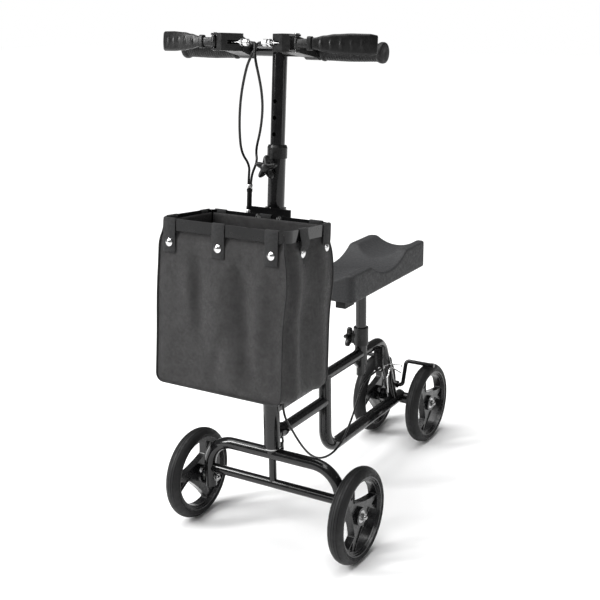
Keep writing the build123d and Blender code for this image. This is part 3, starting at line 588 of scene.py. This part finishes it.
def tabs():
    """Webbing tabs that loop over the rail; those at the front and sides carry a press stud."""
    places = []
    for x in (-0.114, -0.003, 0.112):
        places.append((f"front_{len(places)}", (x, RAIL_FRONT), (0, -1), 0.0))
    for x in (-0.115, -0.009, 0.105):
        places.append((f"back_{len(places)}", (x, RAIL_BACK), (0, 1), 0.0))
    for y, bow in ((-0.128, 0.006), (-0.043, 0.0)):
        places.append((f"side_{len(places)}", (RAIL_HALF, y), (1, 0), bow))
    for y in (-0.149, -0.044):
        places.append((f"side_{len(places)}", (-RAIL_HALF, y), (-1, 0), 0.0))
    for name, (x, y), (out_x, out_y), bow in places:
        gap = 0.0008
        profile = [(-0.0062, 0.296), (-0.0058, 0.312), (-0.0042, 0.330), (-0.0040, RAIL_TOP - 0.001),
                   (-0.0036, RAIL_TOP + gap), (-0.0015, RAIL_TOP + gap + 0.0004), (0.0006, RAIL_TOP + gap),
                   (0.0010, RAIL_TOP - 0.002), (0.0012 + bow * 0.3, 0.332), (0.0014 + bow, 0.318),
                   (0.0008 + bow * 0.4, 0.309), (0.0004, STUD_W), (0.0006, 0.290), (0.0010, 0.281)]
        if name.startswith("back"):
            profile = [(out, w) for out, w in profile if w > 0.325 or out < 0]
            profile.append((0.0010, 0.3235))
        line = [Vector((x + out_x * out, y + out_y * out, w)) for out, w in profile]
        line = [COLUMN @ point for point in resample(spline_points(line, 60), 34)]
        across = (COLUMN.to_3x3() @ Vector((-out_y, out_x, 0))).normalized()
        ribbon(f"tab_{name}", line, across, TAB_WIDTH, TAB_T, WEB, "column")
        if not name.startswith("back"):
            spot = COLUMN @ Vector((x + out_x * 0.0018, y + out_y * 0.0018, STUD_W))
            stud(f"stud_{name}", spot, COLUMN.to_3x3() @ Vector((out_x, out_y, 0)))


# ---- knee pad -------------------------------------------------------------------------
PAD_LOW, PAD_HIGH = 0.466, 0.527
PAD_HALF_X, PAD_FRONT, PAD_REAR = 0.075, FRONT_Y + 0.210, FRONT_Y + 0.578
PAD_CORNER = 0.014
FOOT_ROLL, TOP_ROLL = 0.004, 0.0045      # heights of the rounded bottom and top edges


def smooth_min(a, b, soft):
    """The lesser of two heights, rounded over where they meet."""
    h = max(soft - abs(a - b), 0.0) / soft
    return min(a, b) - h * h * soft / 4


def pad_top(x, y):
    """The moulded top: a long channel for the shin, crossed by a scallop in each long side."""
    channel_r, saddle_r, middle = 0.090, 0.149, (PAD_FRONT + PAD_REAR) / 2 - 0.008
    channel = PAD_HIGH - 0.018 + channel_r - sqrt(channel_r ** 2 - min(abs(x), 0.085) ** 2)
    reach = min(abs(y - middle), 0.14)
    saddle = PAD_HIGH - 0.028 + saddle_r - sqrt(saddle_r ** 2 - reach ** 2)
    return smooth_min(smooth_min(channel, saddle, 0.0035), PAD_HIGH, 0.003)


def rounded_outline(half_x, low_y, high_y, corner, count):
    """Even points round a rectangle with rounded corners."""
    points = []
    for x, y, start in ((1, high_y, 0), (-1, high_y, 90), (-1, low_y, 180), (1, low_y, 270)):
        centre_y = y - corner if y == high_y else y + corner
        for step in range(9):
            angle = radians(start + step * 90 / 8)
            across = x * (half_x - corner) + corner * cos(angle)
            points.append(Vector((across, centre_y + corner * sin(angle), 0)))
    points.append(points[0])
    return resample(points, count + 1)[:-1]


def knee_pad():
    """The skin, as rings: how far in each is from the pad's side, its surface, and its height there."""
    count = 220
    rings = [(0.004, "low", 0.0), (0.0012, "low", 0.0008), (0.0, "low", FOOT_ROLL)]
    rings += [(0.0, "wall", share / 8) for share in range(1, 8)]
    rings += [(0.0, "top", TOP_ROLL), (0.0006, "top", 0.0020), (0.0022, "top", 0.0005), (0.005, "top", 0.0)]
    rings += [(0.005 + 0.0695 * (step / 34), "top", 0.0) for step in range(1, 35)]
    points = []
    for inset, kind, amount in rings:
        round_by = max(PAD_CORNER - inset, 0.0004)
        outline = rounded_outline(PAD_HALF_X - inset, PAD_FRONT + inset, PAD_REAR - inset, round_by, count)
        for place in outline:
            top = pad_top(place.x, place.y)
            if kind == "low":
                height = PAD_LOW + amount
            elif kind == "wall":
                height = PAD_LOW + FOOT_ROLL + (top - TOP_ROLL - PAD_LOW - FOOT_ROLL) * amount
            else:
                height = top - amount
            points.append(Vector((place.x, place.y, height)))
    faces = grid_faces(len(rings), count, closed=True) + end_faces(count, len(points))
    pad = piece("moulded_pad", points, faces, PAD, None)
    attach(pad, "seat")
    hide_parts("knee_pad")


# ---- handlebar ------------------------------------------------------------------------
# Across from the scooter's middle: the ringed part of a grip, and a lever blade's raised bars.
RINGS_START, RINGS_END, RING_PITCH = 0.1015, 0.2085, 0.0052
LEVER_RIDGES = (0.140, 0.158, 0.176, 0.194, 0.211)
LEVER_PIVOT = (0.090, -0.088)            # across, and ahead of the bar


def grips():
    """Soft grips: a palm swell, fine rings and a flared end."""
    for side, name in ((1, "left"), (-1, "right")):
        profile = [(0.0950, 0.0112), (0.0950, 0.0162), (0.0958, 0.0172), (0.0985, 0.0176), (0.1005, 0.0172)]
        steps = 230
        for step in range(steps):
            x = RINGS_START + (RINGS_END - RINGS_START) * step / (steps - 1)
            swell = 0.0157 + 0.0010 * sin(pi * (x - 0.1) / 0.11) ** 2
            ring = max(0.0, sin(2 * pi * (x - RINGS_START) / RING_PITCH)) ** 0.6
            profile.append((x, swell + 0.00055 * ring))
        profile += [(0.2100, 0.0166), (0.2120, 0.0180), (0.2150, 0.0189), (0.2190, 0.0189), (0.2212, 0.0180),
                    (0.2220, 0.0160), (0.2218, 0.0060), (0.2210, 0.0)]
        place = COLUMN @ Matrix.Translation((0, 0, BAR_W)) @ Matrix.Scale(side, 4, (1, 0, 0))
        grip = turned(f"soft_grip_{name}", profile, place, RUBBER, "handlebar", 56)
        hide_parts(f"grip_{name}")


def lever_line(x):
    """The lever's middle line in plan: its Y, which is negative ahead of the bar, at a distance across."""
    run = x - LEVER_PIVOT[0]
    curl = 0.006 * smoothstep(0.222, 0.234, x)
    return -0.089 - 0.0411 * run + 1.714 * run * run + curl


def lever_half(x):
    """Half the blade's width, which grows from the root and eases in again at the tip."""
    stops = [(0.085, 0.0085), (0.112, 0.0088), (0.126, 0.0100), (0.146, 0.0140), (0.165, 0.0168),
             (0.195, 0.0185), (0.222, 0.0185), (0.2335, 0.0165)]
    for (x0, h0), (x1, h1) in zip(stops, stops[1:]):
        if x <= x1:
            return h0 + (h1 - h0) * smoothstep(x0, x1, x)
    return stops[-1][1]


def blade(name, side, start, end, thick, half, material, body, ridges=()):
    """A strip of the lever between two distances across, with softened edges and raised ridges."""
    rows, points = 120, []
    flats = [-0.9 + 1.8 * i / 10 for i in range(11)]
    for row in range(rows + 1):
        share = row / rows
        x = start + (end - start) * share
        run = Vector((1, (lever_line(x + 0.001) - lever_line(x - 0.001)) / 0.002, 0)).normalized()
        normal = Vector((run.y, -run.x, 0))
        middle = Vector((x, lever_line(x), LEVER_W))
        close = min(x - start, end - x)
        ease = sqrt(max(0.0, 1 - (1 - min(close / 0.0022, 1.0)) ** 2))
        tall, deep = half(x) * (0.86 + 0.14 * ease), thick / 2 * (0.25 + 0.75 * ease)
        ring = [(deep, v) for v in flats] + [(deep * 0.55, 1.0), (-deep * 0.55, 1.0)]
        ring += [(-deep, -v) for v in flats] + [(-deep * 0.55, -1.0), (deep * 0.55, -1.0)]
        for out, v in ring:
            lift = 0.0
            if out > 0:
                lift = sum(0.0014 * bump_at(x, spot, 0.0022) for spot in ridges)
                lift *= bump_at(v * tall, 0.0, 0.006)
            place = middle + normal * (out + lift + 0.0010 * (1 - v * v) * (1 if out > 0 else -1))
            points.append(Vector((side * place.x, place.y, place.z + v * tall)))
    around = len(flats) * 2 + 4
    faces = grid_faces(rows + 1, around, closed=True) + end_faces(around, len(points))
    if side < 0:
        faces = [tuple(reversed(face)) for face in faces]
    return piece(name, on_column(points), faces, material, body)


def levers():
    boss = [(-0.0112, 0.0), (-0.0112, 0.0050), (-0.0104, 0.0058), (0.0104, 0.0058), (0.0112, 0.0050),
            (0.0112, 0.0)]
    for side, name in ((1, "left"), (-1, "right")):
        body = f"brake_lever_{name}"
        main = blade(f"lever_blade_{name}", side, 0.121, 0.2335, 0.0062, lever_half,
                     LEVER, body, LEVER_RIDGES)
        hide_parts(body)
        blade(f"lever_collar_{name}", side, 0.1125, 0.1225, 0.0105, lambda x: 0.0122,
              LEVER, body)
        blade(f"lever_root_{name}", side, 0.0850, 0.1140, 0.0056, lambda x: 0.0080,
              ROOT, body)
        across, ahead_by = LEVER_PIVOT
        upright = Matrix.Translation((side * across, ahead_by, LEVER_W)) @ Matrix.Rotation(-pi / 2, 4, "Y")
        turned(f"lever_boss_{name}", boss, COLUMN @ upright, ROOT, body, 32)


# ---- knobs ----------------------------------------------------------------------------
COLUMN_KNOB = (0, -0.0240, 0.438)        # in the column's frame
SEAT_KNOB = (-0.0205, FRONT_Y + 0.390, 0.323)
KNOB_VALLEY, KNOB_TIP = 0.0110, 0.0240   # radii between the arms and at their ends


def star_knob(name, place, body, node, neck):
    """A five-armed knob whose axis is the place's X: a cone neck, tapered arms and a raised middle."""
    around, rings = 200, []
    stem = [(0.0, 0.0), (0.0, 0.0072), (neck * 0.5, 0.0080), (neck, 0.0096)]
    arms = [(neck + 0.0004, 0.84), (neck + 0.0014, 0.94), (neck + 0.0034, 1.0), (neck + 0.0090, 1.0),
            (neck + 0.0112, 0.95), (neck + 0.0124, 0.86)]
    cap = [(neck + 0.0126, 0.0086), (neck + 0.0136, 0.0084), (neck + 0.0142, 0.0072), (neck + 0.0142, 0.0)]
    for profile, is_star in ((stem, False), (arms, True), (cap, False)):
        for along, amount in profile:
            for step in range(around):
                angle = 2 * pi * step / around
                arm = (0.5 + 0.5 * cos(5 * angle)) ** 1.35
                reach = (KNOB_VALLEY + (KNOB_TIP - KNOB_VALLEY) * arm) * amount if is_star else amount
                rings.append(place @ Vector((along, reach * sin(angle), reach * cos(angle))))
    count = len(stem) + len(arms) + len(cap)
    knob = piece(name, rings, grid_faces(count, around, closed=True), KNOB, body)
    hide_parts(node)


def knobs():
    """The height knob on the column's front, and the knee pad's on its right."""
    front = COLUMN @ Matrix.Translation(COLUMN_KNOB) @ Matrix.Rotation(-pi / 2, 4, "Z")
    star_knob("column_star", front, "column_knob", "column_knob", neck=0.008)
    seat = Matrix.Translation(SEAT_KNOB) @ Matrix.Rotation(pi, 4, "Z")
    star_knob("seat_star", seat, "seat_knob", "seat_knob", neck=0.003)


# ---- cables ---------------------------------------------------------------------------
# Routes are in millimetres, as in the CAD part.
CABLE_R = 0.0025
SPLITTER_X, SPLITTER_Y = -52.5, -14.5
SPLITTER_FOOT, SPLITTER_TOP = 347, 396
FERRULE_R, FERRULE_EDGE_R, FERRULE_HALF = 0.0061, 0.0054, 4.5


def ahead(x, y, z):
    """A place given across, behind the front axle and above the floor."""
    return Vector((x / 1000, FRONT_Y + y / 1000, z / 1000))


def up_column(x, y, w):
    """A place given across, behind the column's middle line and along it from the fold hinge."""
    return COLUMN @ Vector((x / 1000, y / 1000, w / 1000))


def cables():
    """The outer cables, each a tube along its route, and the splitter's ferrules."""
    lever, top = LEVER_W * 1000, SPLITTER_TOP
    routes = {
        "brake_cable_left": [
            up_column(13.8, -84, lever), up_column(6, -84, lever), up_column(-1, -80.5, lever - 6),
            ahead(-9, -21, 998), ahead(-18, -24, 980), ahead(-28, -21, 956), ahead(-38, -17, 928),
            ahead(-47, -12, 893),
            ahead(-54, -5, 850), ahead(-56, 2, 810), up_column(-54.5, -13.5, top + 42),
            up_column(-55.2, -14.5, top + 18), up_column(-55.2, -14.5, top)],
        "brake_cable_right": [
            up_column(-13.8, -84, lever), up_column(-6, -84, lever), up_column(1, -89.5, lever - 5),
            ahead(6, -36, 1000), ahead(10, -38, 982), ahead(12.5, -33, 958), ahead(13, -26, 930),
            ahead(9, -18, 896),
            ahead(-2, -11, 856), ahead(-18, -5, 818), up_column(-36.5, -13.5, top + 50),
            up_column(-49.8, -14.5, top + 22), up_column(-49.8, -14.5, top)],
        "rear_cable_upper": [
            up_column(SPLITTER_X, SPLITTER_Y, SPLITTER_FOOT), up_column(SPLITTER_X, SPLITTER_Y, 320),
            up_column(-47, -6, 288),
            up_column(-36, 12, 254), up_column(-16, 27, 222), up_column(8, 29, 190), up_column(24, 18, 156),
            up_column(28, 5, 120), up_column(27.5, 0, 82), up_column(27, 0, 45), ahead(27, 1, 352),
            ahead(27, 2, 322.3)],
        "rear_cable_lower": [
            ahead(27, 2, 322), ahead(26.5, 3, 298), ahead(24, 12, 274), ahead(21.5, 28, 252),
            ahead(20, 49, 225), ahead(20, 66, 201), ahead(20, 86, 176), ahead(20, 107, 153),
            ahead(20, 132, 132), ahead(20, 162, 116), ahead(20, 195, 107.5), ahead(20, 228, 107),
            ahead(20, 258, 116), ahead(20, 280, 131), ahead(20, 301, 150), ahead(20, 321, 172),
            ahead(20, 338, 195), ahead(20, 354, 214), ahead(20, 376, 227), ahead(20, 404, 232.5),
            ahead(20, 447.7, 232)],
    }
    bends = {
        "brake_cable_left": ("handlebar", "column", ahead(0, 0, 975), ahead(0, 0, 765)),
        "brake_cable_right": ("handlebar", "column", ahead(0, 0, 975), ahead(0, 0, 765)),
        "rear_cable_upper": ("column", "fork", up_column(0, 0, 44), ahead(0, 0, 325)),
        "rear_cable_lower": ("fork", "frame", ahead(0, 0, 318), ahead(0, 0, 262)),
    }
    for node, route in routes.items():
        smooth = tube(f"smooth_{node}", spline_points(route, 160), CABLE_R, CABLE, None)
        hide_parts(node)
        body, other, start, end = bends[node]
        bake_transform(smooth)
        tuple(start)
        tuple(end)
    radii = [FERRULE_EDGE_R, FERRULE_R, FERRULE_R, FERRULE_R, FERRULE_EDGE_R]
    for w in (SPLITTER_FOOT, SPLITTER_TOP):
        low = up_column(SPLITTER_X, SPLITTER_Y, w - FERRULE_HALF)
        high = up_column(SPLITTER_X, SPLITTER_Y, w + FERRULE_HALF)
        ends = [low, low.lerp(high, 0.08), low.lerp(high, 0.5), low.lerp(high, 0.92), high]
        tube(f"ferrule_{w}", ends, FERRULE_R, SILVER, "column", 24, radii)


# ---- stage ----------------------------------------------------------------------------
def stage():
    half = 14
    corners = [(-half, -half, 0), (half, -half, 0), (half, half, 0), (-half, half, 0)]
    floor = piece("floor", corners, [(0, 1, 2, 3)], floor_material(), None, smooth=False)


def floor_material():
    s = Shader("pale_floor", 0.9, specular=0.0)
    return s.colour(s.noise(2), (0.93, 0.93, 0.93), (0.96, 0.96, 0.96)).material


def area_light(name, place, target, size, power):
    light = bpy.data.lights.new(name, "AREA")
    light.shape = "RECTANGLE"
    light.size, light.size_y = size
    light.energy = power
    obj = bpy.data.objects.new(name, light)
    obj.location = place
    obj.rotation_euler = (Vector(target) - Vector(place)).to_track_quat("-Z", "Y").to_euler()
    bpy.context.scene.collection.objects.link(obj)


def lights():
    """A tall key light ahead on the rider's right, a weak side light and an overhead sky."""
    middle = (0, 0, 0.5)
    area_light("key", (-2.7, -2.6, 2.4), middle, size=(0.6, 2.4), power=125)
    area_light("side", (3.6, 0.4, 1.6), middle, size=(0.4, 2.2), power=9)
    area_light("top", (0.0, 0.3, 3.6), middle, size=(2.2, 2.2), power=34)
    sun = bpy.data.lights.new("sky", "SUN")
    sun.energy, sun.angle = 3.15, radians(60)
    high = bpy.data.objects.new("sky", sun)
    high.rotation_euler = (radians(18), radians(-12), 0)
    bpy.context.scene.collection.objects.link(high)
    world = bpy.data.worlds.new("studio")
    world.use_nodes = True
    nodes, links = world.node_tree.nodes, world.node_tree.links
    path = nodes.new("ShaderNodeLightPath")
    strength = nodes.new("ShaderNodeMapRange")
    strength.inputs["To Min"].default_value = 0.17      # what lights the scooter
    strength.inputs["To Max"].default_value = 1.0       # what the camera sees
    links.new(path.outputs["Is Camera Ray"], strength.inputs["Value"])
    nodes["Background"].inputs["Color"].default_value = (1, 1, 1, 1)
    links.new(strength.outputs["Result"], nodes["Background"].inputs["Strength"])
    bpy.context.scene.world = world
    bpy.context.scene.view_settings.view_transform = "Standard"


def camera():
    """Ahead and to the rider's left of the scooter, a little above it."""
    eye = (1.0849, FRONT_Y - 1.6584, 1.1210)
    turn, tilt, roll = radians(31.4), radians(16.86), radians(-0.88)
    forward = Vector((-sin(turn) * cos(tilt), cos(turn) * cos(tilt), -sin(tilt)))
    right = Vector((cos(turn), sin(turn), 0))
    up = right.cross(forward)
    right, up = cos(roll) * right + sin(roll) * up, cos(roll) * up - sin(roll) * right
    data = bpy.data.cameras.new("camera")
    data.lens, data.sensor_width = 62.75, 36
    data.clip_start, data.clip_end = 0.05, 60
    obj = bpy.data.objects.new("camera", data)
    axes = Matrix((right, up, -forward)).transposed().to_4x4()
    obj.matrix_world = Matrix.Translation(eye) @ axes
    bpy.context.scene.collection.objects.link(obj)
    bpy.context.scene.camera = obj


finish_cad_nodes()
bag_shell()
tabs()
knee_pad()
grips()
levers()
knobs()
cables()
stage()
lights()
camera()
